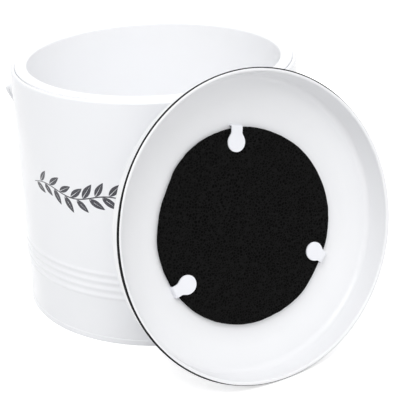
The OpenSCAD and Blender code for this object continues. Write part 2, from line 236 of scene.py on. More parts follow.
def makeSkinGroup():
    # Ripples of a stoved coat of paint, and slow patches of tone
    tree, entry, exit = newGroup(
        "paintSkin",
        [("Vector", "NodeSocketVector"), ("Ripple", "NodeSocketFloat"), ("Cloud", "NodeSocketFloat")],
        [("Height", "NodeSocketFloat"), ("Patch", "NodeSocketFloat")],
    )
    spot = entry.outputs["Vector"]
    ripple = addNode(tree, "ShaderNodeTexNoise", values={
        "Vector": spot, "Scale": entry.outputs["Ripple"], "Detail": 2.0, "Roughness": 0.4})
    cloud = addNode(tree, "ShaderNodeTexNoise", values={
        "Vector": spot, "Scale": entry.outputs["Cloud"], "Detail": 3.0})
    tree.links.new(ripple.outputs["Fac"], exit.inputs["Height"])
    tree.links.new(addRange(tree, cloud.outputs["Fac"], 0.35, 0.65), exit.inputs["Patch"])
    return tree


def makeGrainGroup():
    # Beech turned with its grain along X: soft year lines and short dark rays
    tree, entry, exit = newGroup(
        "beechGrain",
        [("Vector", "NodeSocketVector"), ("Rings", "NodeSocketFloat")],
        [("Line", "NodeSocketFloat"), ("Ray", "NodeSocketFloat"), ("Height", "NodeSocketFloat")],
    )
    spot = entry.outputs["Vector"]
    drawn = addNode(tree, "ShaderNodeMapping", values={"Vector": spot, "Scale": (0.12, 1, 1)}).outputs[0]
    wander = addNode(tree, "ShaderNodeTexNoise", values={"Vector": drawn, "Scale": 60.0, "Detail": 2.0})
    lines = addNode(tree, "ShaderNodeTexWave", {"wave_type": "RINGS", "rings_direction": "X"}, {
        "Vector": drawn, "Scale": entry.outputs["Rings"], "Distortion": 3.0, "Detail": 3.0,
        "Detail Scale": 1.4})
    thin = addNode(tree, "ShaderNodeMapping", values={"Vector": spot, "Scale": (0.25, 1, 1)}).outputs[0]
    ray = addNode(tree, "ShaderNodeTexVoronoi", values={"Vector": thin, "Scale": 900.0})
    rayMask = addRange(tree, ray.outputs["Distance"], 0.3, 0.12)
    depth = addRange(tree, wander.outputs["Fac"], 0.3, 0.7, 0.4, 1.0)
    line = addMath(tree, "MULTIPLY", lines.outputs["Fac"], depth)
    tree.links.new(line, exit.inputs["Line"])
    tree.links.new(rayMask, exit.inputs["Ray"])
    tree.links.new(addMath(tree, "SUBTRACT", line, rayMask), exit.inputs["Height"])
    return tree


def makeFoamGroup():
    # Open cells of two sizes with thin strands between them
    tree, entry, exit = newGroup(
        "openFoam",
        [("Vector", "NodeSocketVector"), ("Scale", "NodeSocketFloat")],
        [("Height", "NodeSocketFloat"), ("Strand", "NodeSocketFloat")],
    )
    spot, scale = entry.outputs["Vector"], entry.outputs["Scale"]
    heights = []
    for factor, share in ((1.0, 0.6), (2.3, 0.4)):
        cells = addNode(tree, "ShaderNodeTexVoronoi", {"feature": "DISTANCE_TO_EDGE"}, {
            "Vector": spot, "Scale": addMath(tree, "MULTIPLY", scale, factor)})
        strand = addRange(tree, cells.outputs["Distance"], 0.28, 0.04)
        heights.append(addMath(tree, "MULTIPLY", strand, share))
    total = addMath(tree, "ADD", *heights)
    tree.links.new(total, exit.inputs["Height"])
    tree.links.new(addRange(tree, total, 0.2, 0.9), exit.inputs["Strand"])
    return tree


skinGroup = makeSkinGroup()
grainGroup = makeGrainGroup()
foamGroup = makeFoamGroup()

enamel = {
    "white": (0.862, 0.87, 0.892),
    "shade": (0.848, 0.857, 0.882),
    "ripple": 260.0,
    "cloud": 11.0,
    "roughness": (0.3, 0.4),
    "bump": (0.12, 0.25),  # strength, and depth of the ripples
}


def enamelMaterial(name, white=enamel["white"], shade=enamel["shade"], place=None, coat=0.45):
    material, tree, shader, spot = newMaterial(name, {
        "IOR": 1.3, "Coat Weight": coat, "Coat Roughness": 0.06}, place)
    skin = useGroup(tree, skinGroup, {
        "Vector": spot, "Ripple": enamel["ripple"], "Cloud": enamel["cloud"]})
    tree.links.new(mixColours(tree, skin["Patch"], white, shade), shader.inputs["Base Color"])
    low, high = enamel["roughness"]
    tree.links.new(addRange(tree, skin["Patch"], 0.0, 1.0, low, high), shader.inputs["Roughness"])
    normal = addBump(tree, skin["Height"], *enamel["bump"])
    tree.links.new(normal, shader.inputs["Normal"])
    return material, tree, shader, spot, normal


# Pail

pail = {
    "wallR": 106.0,
    "height": 185.0,
    "sheet": 0.8,
    "rollR": 1.8,
    "rollEnd": 292,  # how far round the rim is rolled
    "seamH": 4.0,  # where the base is folded into the wall
    "seamRise": 0.4,
    "ribs": 4,
    "ribPitch": 5.9,
    "lowRibZ": 37.6,
    "ribW": 5.4,
    "ribRise": 0.7,
    "ribRows": 80,
    "weldW": 3.0,  # half the width of the welded seam at the back
    "weldFade": 0.8,
    "weldRise": 0.12,
    "earEdge": 0.25,
    "steps": 256,
}


def ribSwell(z):
    # How far the wall stands out at a height
    for i in range(pail["ribs"]):
        away = abs(z - pail["lowRibZ"] - i * pail["ribPitch"]) / (pail["ribW"] / 2)
        if away < 1:
            return pail["ribRise"] * (1 + cos(pi * away)) / 2
    return 0.0


def pailOutline():
    inner = pail["wallR"] - pail["sheet"]
    rollMiddle = (pail["wallR"] - pail["rollR"], pail["height"] - pail["rollR"])
    ribStart = pail["lowRibZ"] - pail["ribW"] / 2
    ribEnd = pail["lowRibZ"] + (pail["ribs"] - 1) * pail["ribPitch"] + pail["ribW"] / 2
    rows = pail["ribRows"]
    heights = [ribStart + (ribEnd - ribStart) * i / rows for i in range(rows + 1)]
    seamR = pail["wallR"] + pail["seamRise"]
    foot = roundCorners([
        (inner, rollMiddle[1], 0), (inner, 0, 0.3), (seamR, 0, 0.4),
        (seamR, pail["seamH"], 0.4), (pail["wallR"], pail["seamH"] + 0.3, 0.2),
        (pail["wallR"], rollMiddle[1], 0),
    ])[1:-1]
    outside = [(pail["wallR"] + ribSwell(z), z) for z in heights]
    inside = [(inner + ribSwell(z), z) for z in reversed(heights)]
    roll = arcPoints(rollMiddle, pail["rollR"], 0, pail["rollEnd"], 40)
    curl = arcPoints(rollMiddle, pail["rollR"] - pail["sheet"], pail["rollEnd"], 0, 32)
    return foot + outside + roll + curl + inside


wallMaterial, tree, shader, spot, normal = enamelMaterial("wallEnamel")
across = addNode(tree, "ShaderNodeSeparateXYZ", values={"Vector": spot}).outputs
weldEnd = (pail["weldW"] - pail["weldFade"]) * mm
weld = addRange(tree, addMath(tree, "ABSOLUTE", across["X"]), pail["weldW"] * mm, weldEnd)
atBack = addMath(tree, "GREATER_THAN", across["Y"], 0.0)
normal = addBump(tree, addMath(tree, "MULTIPLY", weld, atBack), 1.0, pail["weldRise"], normal)
tree.links.new(normal, shader.inputs["Normal"])

addPiece("pailWall", spinOutline(pailOutline(), pail["steps"]), "pail", wallMaterial,
         ["pail_wall"])

plainEnamel = enamelMaterial("plainEnamel")[0]
for side in ("left", "right"):
    ear = addPiece("ear." + side, copyOfNode("ear_" + side), "pail", plainEnamel,
                   ["ear_" + side])
    softenEdges(ear, pail["earEdge"])
print("pail wall and ears")


# Printed band of leaves, raised on the wall by the thickness of its ink

garland = {
    "from": -41.0,  # headings on the wall, from the front towards +X
    "to": 36.0,
    "midZ": 113.5,
    "wave": 2.6,
    "waves": 2.5,
    "stemW": 0.9,
    "stemEnd": 0.35,  # share of the stem's width that is left at its ends
    "stemColumns": 200,
    "leaves": 26,
    "lead": 0.6,  # leaf pitches before the first leaf, and spare ones in all
    "spare": 1.4,
    "leafLength": 14.5,
    "leafW": 5.6,
    "leafTurn": 44.0,
    "leafColumns": 12,
    "leafSize": (0.8, 0.2, 0.05),  # size at the ends, growth to the middle, and change leaf by leaf
    "tipLeaf": 0.8,
    "midrib": 0.5,
    "berryR": 1.3,
    "berryGap": 3.12,
    "ink": 0.05,
}


def stemPoint(share):
    width = radians(garland["to"] - garland["from"]) * pail["wallR"]
    left = radians(garland["from"]) * pail["wallR"]
    swing = wholeTurn * garland["waves"]
    place = Vector((left + width * share, garland["midZ"] + garland["wave"] * sin(swing * share)))
    slope = Vector((width, garland["wave"] * swing * cos(swing * share))).normalized()
    return place, slope


def inkGrid(bm, columns, rows, shape):
    # shape takes shares along and across, and gives a place on the unrolled wall
    made = bmesh.ops.create_grid(bm, x_segments=columns, y_segments=rows, size=0.5)["verts"]
    for vert in made:
        u, v = shape(vert.co.x + 0.5, vert.co.y + 0.5)
        vert.co = (u, v, 0)


def addLeaf(bm, root, along, length, width):
    side = Vector((-along.y, along.x))
    for hand in (-1, 1):
        def shape(share, out):
            half = width / 2 * sin(pi * share ** 0.8) ** 0.9
            gap = min(half, garland["midrib"] / 2 * (1 - share))
            return root + along * length * share + side * hand * (gap + (half - gap) * out)
        inkGrid(bm, garland["leafColumns"], 2, shape)


def printOnWall(bm):
    low = (pail["wallR"] - garland["ink"]) * mm
    for vert in bm.verts:
        turn = vert.co.x / pail["wallR"]
        vert.co = (low * sin(turn), -low * cos(turn), vert.co.y * mm)
    raised = bmesh.ops.extrude_face_region(bm, geom=bm.faces[:], use_keep_orig=True)["geom"]
    grow = (pail["wallR"] + garland["ink"]) / (pail["wallR"] - garland["ink"])
    outer = [g for g in raised if isinstance(g, bmesh.types.BMVert)]
    bmesh.ops.scale(bm, vec=(grow, grow, 1), verts=outer)
    bmesh.ops.recalc_face_normals(bm, faces=bm.faces)


def garlandMesh():
    bm = bmesh.new()

    def stem(share, out):
        place, slope = stemPoint(share)
        end = garland["stemEnd"]
        half = garland["stemW"] / 2 * (end + (1 - end) * sin(pi * share) ** 0.5)
        return place + Vector((-slope.y, slope.x)) * half * (2 * out - 1)

    inkGrid(bm, garland["stemColumns"], 1, stem)
    small, growth, change = garland["leafSize"]
    for i in range(garland["leaves"]):
        share = (i + garland["lead"]) / (garland["leaves"] + garland["spare"])
        place, slope = stemPoint(share)
        hand = 1 if i % 2 else -1
        along = Matrix.Rotation(radians(garland["leafTurn"] * hand), 2) @ slope
        size = small + growth * sin(pi * share) - change * (i % 3)
        root = place + along * garland["stemW"]
        addLeaf(bm, root, along, garland["leafLength"] * size, garland["leafW"] * size)
        if i % 2:
            berry = place - along * (garland["stemW"] + garland["berryGap"])
            made = bmesh.ops.create_circle(bm, cap_ends=True, segments=20, radius=garland["berryR"])
            bmesh.ops.translate(bm, vec=(*berry, 0), verts=made["verts"])
    place, slope = stemPoint(1.0)
    tip = garland["tipLeaf"]
    addLeaf(bm, place, slope, garland["leafLength"] * tip, garland["leafW"] * tip)
    bmesh.ops.remove_doubles(bm, verts=bm.verts, dist=0.01)  # still in millimetres
    printOnWall(bm)
    return bm


inkMaterial, tree, shader, spot = newMaterial("navyInk", {
    "IOR": 1.5, "Coat Weight": 0.4, "Coat Roughness": 0.08})
skin = useGroup(tree, skinGroup, {"Vector": spot, "Ripple": 900.0, "Cloud": 60.0})
tree.links.new(mixColours(tree, skin["Patch"], (0.0055, 0.006, 0.016), (0.009, 0.0095, 0.022)),
               shader.inputs["Base Color"])
tree.links.new(addRange(tree, skin["Height"], 0.3, 0.7, 0.24, 0.34), shader.inputs["Roughness"])
tree.links.new(addBump(tree, skin["Height"], 0.2, 0.05), shader.inputs["Normal"])
addPiece("leafBand", garlandMesh(), "pail", inkMaterial)
print("leaf band printed")


# Bucket

bucket = {
    "mouthR": 94.0,
    "wall": 1.6,
    "draft": 7.0,
    "flangeR": 102.7,
    "topZ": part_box("inner_bucket")[1][2] / mm,
    "lowZ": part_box("inner_bucket")[0][2] / mm,
    "cornerR": 6.0,
    "lipR": 1.6,
    "settle": 0.22,  # its flange has crept down onto the rim
    "ringR": 62.0,  # shallow ring pressed into the floor
    "ringTopW": 1.0,  # half widths of the ring, at its top and at its foot
    "ringFootW": 2.0,
    "ringRise": 0.5,
    "steps": 224,
}


def bucketOutline():
    b = bucket
    floorR, floorZ = b["mouthR"] - b["draft"], b["lowZ"] + b["wall"]
    outR = floorR + b["wall"]
    flangeLow = b["topZ"] - b["wall"] - b["settle"]
    ring, rise, top, foot = (b[k] for k in ("ringR", "ringRise", "ringTopW", "ringFootW"))
    return roundCorners([
        (0, b["lowZ"], 0), (outR, b["lowZ"], b["cornerR"]),
        (b["mouthR"] + b["wall"], flangeLow, 0.5),
        (b["flangeR"], flangeLow, 0.2), (b["flangeR"], b["topZ"], 0.9),
        (b["mouthR"], b["topZ"], b["lipR"]),
        (floorR, floorZ, b["cornerR"] - b["wall"]),
        (ring + foot, floorZ, 1.5), (ring + top, floorZ + rise, 1.5),
        (ring - top, floorZ + rise, 1.5), (ring - foot, floorZ, 1.5), (0, floorZ, 0),
    ], 8)


bucketMaterial, tree, shader, spot = newMaterial("mouldedPlastic", {"IOR": 1.49})
skin = useGroup(tree, skinGroup, {"Vector": spot, "Ripple": 1500.0, "Cloud": 14.0})
tree.links.new(mixColours(tree, skin["Patch"], (0.955, 0.96, 0.975), (0.945, 0.951, 0.97)),
               shader.inputs["Base Color"])
tree.links.new(addRange(tree, skin["Height"], 0.3, 0.7, 0.32, 0.42), shader.inputs["Roughness"])
tree.links.new(addBump(tree, skin["Height"], 0.15, 0.06), shader.inputs["Normal"])
addPiece("liftOutBucket", spinOutline(bucketOutline(), bucket["steps"], closed=False), "bucket",
         bucketMaterial, ["inner_bucket"])
print("lift-out bucket")


# Lid, made in its own frame: x to its right, y down its face and z into its crown

lid = {
    "side": 43.3,  # leans round from the front towards +X
    "lean": 14.6,
    "turn": 2.0,
    "reach": 150.163,  # from the pail's axis to the middle of the rolled edge
    "rise": 103.256,
    "skirtInR": 103.6,
    "sheet": 0.8,
    "hemR": 1.5,
    "skirtH": 14.0,
    "skirtSlope": 6.0,
    "coveR": 6.0,
    "seatW": 3.7,
    "seatSlope": 8.0,
    "shoulderW": 7.6,
    "crownSlope": 20.0,
    "flatR": 72.0,
    "foamGap": 0.3,
    "foamH": 3.0,
    "screwR": 2.3,
    "ventRings": 3,
    "ventFirstR": 22.0,
    "ventStep": 14.0,
    "ventR": 2.0,
    "punch": 3,  # how far the punches reach past the crown, each way
    # The lid's white and its tone patch are a little darker than the wall's enamel, which is the same
    # finish: a painted shade that tones down the light on the lid
    "white": (0.845, 0.85, 0.868),
    "shade": (0.832, 0.838, 0.857),
    "steps": 256,
}
lidPlace = (
    Matrix.Rotation(radians(lid["side"]), 4, "Z")
    @ Matrix.Translation((0, -lid["reach"] * mm, lid["rise"] * mm))
    @ Matrix.Rotation(radians(lid["turn"]), 4, "Z")
    @ Matrix.Rotation(radians(-90 - lid["lean"]), 4, "X")
)


def lidSizes(spec):
    # Radii and heights that follow from the driving sizes
    skirt, seat, crown = (radians(spec[k]) for k in ("skirtSlope", "seatSlope", "crownSlope"))
    s = {"skirtOutR": spec["skirtInR"] + spec["sheet"] / cos(skirt)}
    s["coveR"] = s["skirtOutR"] - spec["skirtH"] * tan(skirt) - spec["coveR"] * cos(skirt)
    s["coveZ"] = spec["skirtH"] - spec["coveR"] * sin(skirt)
    s["seatR"] = s["coveR"] + spec["coveR"] * sin(seat) - spec["seatW"]
    s["seatZ"] = s["coveZ"] + spec["coveR"] * cos(seat) + spec["seatW"] * tan(seat)
    domeR, domeZ = s["seatR"] - spec["shoulderW"], s["seatZ"] + spec["shoulderW"] * tan(crown)
    s["domeArc"] = (domeR - spec["flatR"]) / sin(crown)
    s["crownZ"] = domeZ + s["domeArc"] * (1 - cos(crown))
    s["foamZ"] = s["crownZ"] - spec["sheet"] - spec["foamGap"] - spec["foamH"]
    return s


lidAt = lidSizes(lid)


def lidOutline():
    sheet, crown = lid["sheet"], lid["crownSlope"]
    cove, dome = (lidAt["coveR"], lidAt["coveZ"]), (lid["flatR"], lidAt["crownZ"] - lidAt["domeArc"])
    hem = (lid["skirtInR"] + lid["hemR"], 0)
    fold = sheet * tan(radians((crown + lid["seatSlope"]) / 2))
    topTurn = 90 - lid["seatSlope"]
    return (
        arcPoints(hem, lid["hemR"], -182, 118, 48)
        + arcPoints(cove, lid["coveR"], lid["skirtSlope"], topTurn, 14)
        + [(lidAt["seatR"] + 0.5, lidAt["seatZ"] - 0.5 * tan(radians(lid["seatSlope"])))]
        + arcPoints(dome, lidAt["domeArc"], 90 - crown, 90, 10)
        + [(0, lidAt["crownZ"]), (0, lidAt["crownZ"] - sheet)]
        + arcPoints(dome, lidAt["domeArc"] - sheet, 90, 90 - crown, 10)
        + [(lidAt["seatR"] - fold, lidAt["seatZ"] - sheet)]
        + arcPoints(cove, lid["coveR"] - sheet, topTurn, lid["skirtSlope"], 14)
    )


def cutHoles(piece, holes, low, high):
    # Punches round holes along the lid's axis; each hole is (x, y, radius)
    bm = bmesh.new()
    for x, y, r in holes:
        made = bmesh.ops.create_cone(
            bm, cap_ends=True, segments=32, radius1=r * mm, radius2=r * mm,
            depth=(high - low) * mm)["verts"]
        bmesh.ops.translate(bm, vec=(x * mm, y * mm, (low + high) / 2 * mm), verts=made)
    bmesh.ops.transform(bm, matrix=lidPlace, verts=bm.verts)
    mesh = bpy.data.meshes.new("punch")
    bm.to_mesh(mesh)
    bm.free()
    punch = bpy.data.objects.new("punch", mesh)
    bpy.context.scene.collection.objects.link(punch)
    cut = piece.modifiers.new("punched", "BOOLEAN")
    cut.operation = "DIFFERENCE"
    cut.solver = "EXACT"
    cut.object = punch
    bpy.context.view_layer.update()
    cutPiece = piece.evaluated_get(bpy.context.evaluated_depsgraph_get())
    shaped = bpy.data.meshes.new_from_object(cutPiece)
    piece.modifiers.remove(cut)
    piece.data = shaped
    bpy.data.objects.remove(punch)


def ventHoles():
    holes = [(0, 0, lid["screwR"])]
    for ring in range(lid["ventRings"]):
        count = 6 * (ring + 1)
        r = lid["ventFirstR"] + ring * lid["ventStep"]
        turns = [wholeTurn * i / count for i in range(count)]
        holes += [(r * cos(turn), r * sin(turn), lid["ventR"]) for turn in turns]
    return holes


# A darker copy of the white enamel: painted shade on the lid
lidMaterial = enamelMaterial("lidEnamelPaintedShade", lid["white"], lid["shade"], lidPlace)[0]
bm = spinOutline(lidOutline(), lid["steps"])
bmesh.ops.transform(bm, matrix=lidPlace, verts=bm.verts)
shell = addPiece("lidShell", bm, "lid", lidMaterial, ["lid_shell"])
cutHoles(shell, ventHoles(), lidAt["crownZ"] - lid["punch"], lidAt["crownZ"] + lid["punch"])
shell.data.set_sharp_from_angle(angle=radians(40))
print("lid shell, vents punched")


# Black line painted on the rolled edge, from the face side of the roll over its outside

rimLine = {
    # heading in the lid's frame, and where on the roll the paint starts: -90 is its face side
    "from": [
        (-180, -71), (-165, -66), (-145, -51), (-120, -54), (-100, -52), (-88, -55), (-70, -68),
        (-52, -72), (-34, -46), (0, -42), (70, -42), (90, -56), (110, -52), (127, -70), (160, -66),
    ],
    "to": 55.0,
    "ragged": 2.5,
    "strays": (5, 40),  # slow and quick wandering of the brush
    "paint": 0.04,
    "steps": 360,
}


def alongKnots(knots, heading):
    # Smooth value between (heading, value) knots that run once round
    ends = knots[1:] + [(knots[0][0] + 360, knots[0][1])]
    for (start, low), (end, high) in zip(knots, ends):
        if start <= heading <= end:
            share = (1 - cos(pi * (heading - start) / (end - start))) / 2
            return low + (high - low) * share
    return knots[0][1]


def rimLineMesh():
    r = rimLine
    bm = bmesh.new()
    bmesh.ops.create_grid(bm, x_segments=r["steps"], y_segments=8, size=0.5)
    middleR, out = lid["skirtInR"] + lid["hemR"], lid["hemR"] + r["paint"]
    for vert in bm.verts:
        heading = 360 * vert.co.x
        a = radians(heading)
        slow, quick = (noise.noise(Vector((k * cos(a), k * sin(a), 1.0))) for k in r["strays"])
        start = alongKnots(r["from"], heading) + r["ragged"] * (slow + quick)
        turn = radians(start + (r["to"] - start) * (vert.co.y + 0.5))
        reach = middleR + out * cos(turn)
        vert.co = (reach * cos(a) * mm, reach * sin(a) * mm, out * sin(turn) * mm)
    bmesh.ops.remove_doubles(bm, verts=bm.verts, dist=mergeGap)
    bmesh.ops.transform(bm, matrix=lidPlace, verts=bm.verts)
    return bm


blackMaterial, tree, shader, spot = newMaterial("blackEnamel", {"Specular IOR Level": 0.12}, lidPlace)
skin = useGroup(tree, skinGroup, {"Vector": spot, "Ripple": 700.0, "Cloud": 40.0})
tree.links.new(mixColours(tree, skin["Patch"], (0.006, 0.006, 0.007), (0.011, 0.011, 0.012)),
               shader.inputs["Base Color"])
tree.links.new(addRange(tree, skin["Height"], 0.3, 0.7, 0.5, 0.62), shader.inputs["Roughness"])
tree.links.new(addBump(tree, skin["Height"], 0.2, 0.05), shader.inputs["Normal"])
band = addPiece("rimLine", rimLineMesh(), "lid", blackMaterial)
paint = band.modifiers.new("paint", "SOLIDIFY")
paint.thickness = 2 * rimLine["paint"] * mm
paint.offset = -1
print("black line on the lid's edge")


# Filter disc of soft foam, held under three tabs

tab = {
    # heading in the lid's frame, and how far the head's middle is from the bend
    "set": {"top": (-86.3, 10.0), "left": (154.6, 9.1), "right": (33.0, 8.9)},
    "rootR": 69.12,  # inner face of the upright leg
    "twist": 10.0,
    "sheet": 1.0,
    "bendR": 1.5,  # along the middle of the sheet
    "headR": 6.6,
    "neckW": 8.3,
    "blend": 0.9,  # how softly the head flows into the neck
    "faceZ": lidAt["foamZ"] - 0.05,
    "topZ": lidAt["crownZ"] - lid["sheet"],
    "edge": 0.28,
    # A darker, bluer white than the enamel elsewhere: painted shade on the tabs' faces under the lid
    "white": (0.83, 0.84, 0.88),
    "shade": (0.815, 0.825, 0.866),
    "columns": 64,
}

foam = {
    "radius": 68.0,
    "thick": lid["foamH"],
    "middle": (1.1, 1.5),  # lies to the right of the lid's middle, and below it
    "lowZ": lidAt["foamZ"],
    "edgeR": 1.1,
    "cut": [  # heading in the lid's frame, and how far the hand-cut edge strays there
        (-180, 0.7), (-162, -0.6), (-145, -1.2), (-130, 0.4), (-117, 0.8), (-88, 0.1), (-58, -0.7),
        (-30, 0.3), (0, 0.9), (20, 0.3), (41, -0.9), (59, 0.2), (80, -0.4), (105, 0.0), (135, 0.6),
    ],
    "rimR": 50.0,  # only the part outside this follows the cut
    "nicks": 18.0,  # how closely the nicks in the edge follow one another
    "ragged": 0.15,
    "torn": 0.2,
    "fine": 0.35,  # scale of the uneven surface, and its height
    "uneven": 0.12,
    "swell": 0.3,
    "tabR": 7.0,  # each dent is flat inside this, and fades out over its edge
    "tabFade": 6.0,
    "tabAt": 60.0,
    "press": 0.35,
    "steps": 240,
    "rings": 44,
}


def foamMesh():
    f = foam
    low, high = f["lowZ"], f["lowZ"] + f["thick"]
    corner = f["radius"] - f["edgeR"]
    ring = [corner * (1 - i / f["rings"]) for i in range(f["rings"] + 1)]
    dents = [(f["tabAt"] * cos(radians(turn)), f["tabAt"] * sin(radians(turn)))
             for turn, headAt in tab["set"].values()]
    outline = (
        [(r, high) for r in reversed(ring)]
        + arcPoints((corner, high - f["edgeR"]), f["edgeR"], 90, 0, 5)[1:]
        + arcPoints((corner, low + f["edgeR"]), f["edgeR"], 0, -90, 5)
        + [(r, low) for r in ring[1:]]
    )
    bm = spinOutline(outline, f["steps"], closed=False)
    for vert in bm.verts:
        x, y, z = vert.co / mm
        r, heading = hypot(x, y), atan2(y, x)
        rim = max(0.0, (r - f["rimR"]) / (f["radius"] - f["rimR"]))
        stray = alongKnots(f["cut"], degrees(heading))
        nick = noise.noise(Vector((f["nicks"] * cos(heading), f["nicks"] * sin(heading), z * 0.3)))
        fine = noise.noise(Vector((x * f["fine"], y * f["fine"], z * 0.4)))
        grow = 1 + (stray + nick * f["ragged"] + f["torn"] * fine) * rim ** 3 / f["radius"]
        if z < low + 0.5 * f["thick"]:  # the face towards the scraps
            pressed = 0.0
            for tabX, tabY in dents:
                away = max(0.0, hypot(x - tabX, y - tabY) - f["tabR"])
                pressed = max(pressed, 1 - away / f["tabFade"])
            swell = f["swell"] * (1 - rim ** 2) * (1 - pressed)
            z += f["press"] * pressed + f["uneven"] * fine - swell
        vert.co = ((x * grow + f["middle"][0]) * mm, (y * grow + f["middle"][1]) * mm, z * mm)
    bmesh.ops.transform(bm, matrix=lidPlace, verts=bm.verts)
    return bm


foamMaterial, tree, shader, spot = newMaterial("carbonFoam", {
    "Roughness": 1.0, "Specular IOR Level": 0.05}, lidPlace)
cells = useGroup(tree, foamGroup, {"Vector": spot, "Scale": 520.0})
tree.links.new(mixColours(tree, cells["Strand"], (0.0006, 0.0006, 0.0006), (0.0115, 0.0115, 0.0115)),
               shader.inputs["Base Color"])
tree.links.new(addBump(tree, cells["Height"], 1.0, 0.9), shader.inputs["Normal"])
disc = addPiece("foamDisc", foamMesh(), "lid", foamMaterial, ["charcoal_filter"])


def tabHalfWidth(reach, headAt):
    # Half the width at a distance from the bend: a round head that flows into a narrow neck
    t = tab
    head = max(0.0, t["headR"] ** 2 - (reach - headAt) ** 2) ** 0.5
    if reach > headAt:
        return head
    return t["blend"] * log(exp(head / t["blend"]) + exp(t["neckW"] / 2 / t["blend"]) - 1)


def tabMesh(heading, headAt):
    # The sheet is laid out along its middle line: tip, face, bend and leg
    t = tab
    length = headAt + t["headR"]
    bend = t["bendR"] * pi / 2
    middleZ = t["faceZ"] - t["sheet"] / 2
    legX = t["sheet"] / 2
    leg = t["topZ"] - middleZ - t["bendR"]
    bm = bmesh.new()
    bmesh.ops.create_grid(bm, x_segments=t["columns"], y_segments=8, size=0.5)
    for vert in bm.verts:
        share = 1 - cos((vert.co.x + 0.5) * pi / 2)  # the columns crowd at the round tip
        along = share * (length + bend + leg)
        half = tabHalfWidth(max(0.0, length - along), headAt)
        if along <= length:
            x, z = legX - t["bendR"] - (length - along), middleZ
        elif along <= length + bend:
            a = (along - length) / t["bendR"]
            x, z = legX - t["bendR"] * (1 - sin(a)), middleZ + t["bendR"] * (1 - cos(a))
        else:
            x, z = legX, middleZ + t["bendR"] + along - length - bend
        vert.co = (x * mm, half * 2 * vert.co.y * mm, z * mm)
    bmesh.ops.remove_doubles(bm, verts=bm.verts, dist=mergeGap)
    tabPlace = (
        lidPlace
        @ Matrix.Translation((foam["middle"][0] * mm, foam["middle"][1] * mm, 0))
        @ Matrix.Rotation(radians(heading), 4, "Z")
        @ Matrix.Translation((t["rootR"] * mm, 0, 0))
        @ Matrix.Rotation(radians(t["twist"]), 4, "Z")
    )
    bmesh.ops.transform(bm, matrix=tabPlace, verts=bm.verts)
    return bm


# A darker, bluer copy of the white enamel: painted shade on the tabs
tabMaterial = enamelMaterial("tabEnamelPaintedShade", tab["white"], tab["shade"], lidPlace, 0.6)[0]
for side, (heading, headAt) in tab["set"].items():
    piece = addPiece("filterTab." + side, tabMesh(heading, headAt), "lid", tabMaterial,
                     ["filter_tab_" + side])
    sheet = piece.modifiers.new("sheet", "SOLIDIFY")
    sheet.thickness = tab["sheet"] * mm
    sheet.offset = 0
    softenEdges(piece, tab["edge"])
print("foam disc and tabs")


# Turned beech: the knob on the lid and the grip on the bail

beech = {
    "light": (0.62, 0.42, 0.235),
    "line": (0.5, 0.315, 0.165),
    "ray": (0.36, 0.205, 0.1),
    "rays": 0.55,  # how strongly the rays show
}


def beechMaterial(name, place, rings):
    material, tree, shader, spot = newMaterial(name, {
        "Coat Weight": 0.15, "Coat Roughness": 0.3}, place)
    grain = useGroup(tree, grainGroup, {"Vector": spot, "Rings": rings})
    wood = mixColours(tree, grain["Line"], beech["light"], beech["line"])
    rays = addMath(tree, "MULTIPLY", grain["Ray"], beech["rays"])
    tree.links.new(mixColours(tree, rays, wood, beech["ray"]), shader.inputs["Base Color"])
    tree.links.new(addRange(tree, grain["Line"], 0.0, 1.0, 0.42, 0.55), shader.inputs["Roughness"])
    tree.links.new(addBump(tree, grain["Height"], 0.3, 0.12), shader.inputs["Normal"])
    return material


knob = {
    "footR": 7.5,
    "waistR": 6.4,
    "headR": 13.0,
    "edgeR": 4.0,
    "height": 14.5,
    "boreR": 3.3,
    "boreDepth": 8.6,
    "lowZ": lidAt["crownZ"] + 0.8,
    "heart": (4.0, 2.0),  # where the year lines' middle lies
    "rings": 55.0,
    "steps": 96,
}


def knobOutline():
    k = knob
    neck = k["height"] - 2 * k["edgeR"]
    return roundCorners([
        (k["boreR"], 0, 0.3), (k["footR"], 0, 0.6), (k["waistR"], neck * 0.45, 5),
        (k["headR"] - k["edgeR"], neck, 1.2), (k["headR"], neck, 3.9),
        (k["headR"], k["height"], 4.0), (0, k["height"], 0),
    ], 8) + [(0, k["boreDepth"]), (k["boreR"], k["boreDepth"])]


alongX = Matrix.Rotation(radians(90), 4, "Y")  # turns the axis of a spun outline
knobPlace = lidPlace @ Matrix.Translation((0, 0, knob["lowZ"] * mm))
heartX, heartY = knob["heart"]
knobGrain = lidPlace @ Matrix.Translation((heartX * mm, heartY * mm, knob["lowZ"] * mm)) @ alongX
bm = spinOutline(knobOutline(), knob["steps"])
bmesh.ops.transform(bm, matrix=knobPlace, verts=bm.verts)
addPiece("beechKnob", bm, "lid", beechMaterial("knobBeech", knobGrain, knob["rings"]),
         ["knob"])

grip = {
    "radius": 9.5,
    "length": 96.0,
    "endR": 5.0,
    "endDrop": 2.5,
    "boreR": 2.05,
    "sink": 2.0,  # how much slimmer it is at its ends
    "grooves": (-40.5, -38.0, 38.0, 40.5),
    "grooveW": 0.5,
    "grooveDepth": 0.35,
    "heart": (6.0, -9.0),  # where the year lines' middle lies
    "rings": 50.0,
    "rows": 384,
    "steps": 96,
}


def gripOutline():
    half = grip["length"] / 2
    arcR = (half ** 2 + grip["sink"] ** 2) / (2 * grip["sink"])
    side = []
    for i in range(grip["rows"] + 1):
        along = -half + grip["length"] * i / grip["rows"]
        r = grip["radius"] - arcR + (arcR ** 2 - along ** 2) ** 0.5
        toEnd = half - abs(along)
        if toEnd < grip["endR"]:
            r -= grip["endDrop"] * (1 - (1 - (1 - toEnd / grip["endR"]) ** 2) ** 0.5)
        for groove in grip["grooves"]:
            near = abs(along - groove) / grip["grooveW"]
            if near < 1:
                r -= grip["grooveDepth"] * (1 + cos(pi * near)) / 2
        side.append((r, along))
    return side + [(grip["boreR"], half), (grip["boreR"], -half)]


